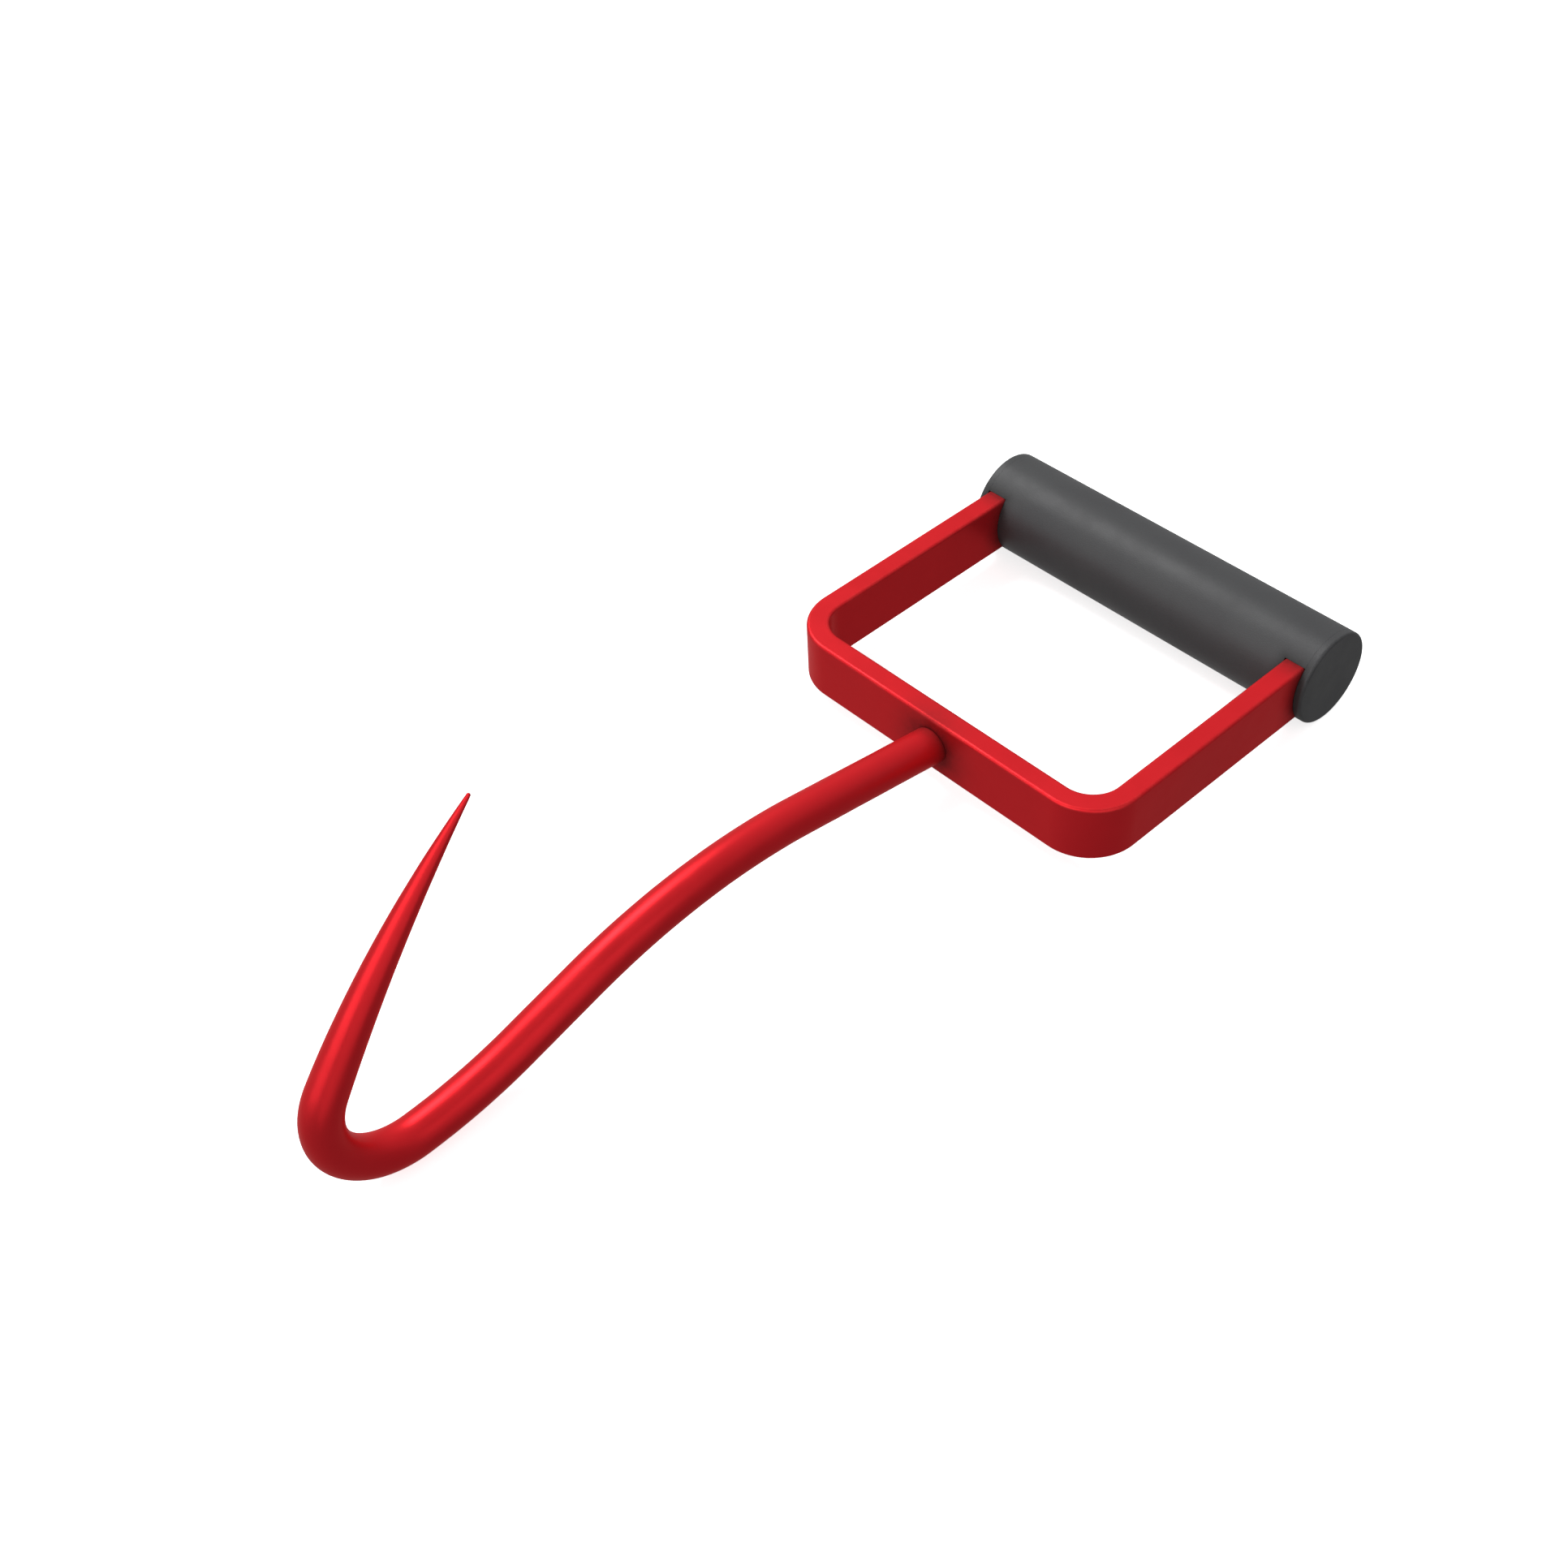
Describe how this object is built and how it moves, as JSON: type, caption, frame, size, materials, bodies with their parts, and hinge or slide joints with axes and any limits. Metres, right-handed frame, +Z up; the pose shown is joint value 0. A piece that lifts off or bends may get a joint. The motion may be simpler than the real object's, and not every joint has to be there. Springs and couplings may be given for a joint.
{
  "type": "hay hook",
  "caption": "Red steel hay hook: a round rod with an S-curved shank, upturned bend and tapered point, riveted to a flat-bar D handle with a grey round grip.",
  "frame": {"origin": "on the surface that the tool rests on, under the middle of its bounding box", "axes": "+Z is the normal of the handle frame's plane, and the point rises towards it. +Y runs from the hook's bend to the grip. +X runs along the grip, to the right as seen from the hook with +Z up."},
  "size_m": [0.1368, 0.3496, 0.1082],
  "materials": {
    "red_paint": "satin enamel",
    "grip_plastic": "satin, dark grey, fine moulded grain",
    "zinc_steel": "bright zinc plate"
  },
  "bodies": {
    "root": {"handle_frame": "red_paint", "hook": "red_paint", "rivet_washer": "red_paint", "grip_sleeve": "grip_plastic", "grip_cap_left": "grip_plastic", "grip_cap_right": "grip_plastic", "grip_core": "zinc_steel", "core_screw_left": "zinc_steel", "core_screw_right": "zinc_steel"}
  },
  "joints": []
}
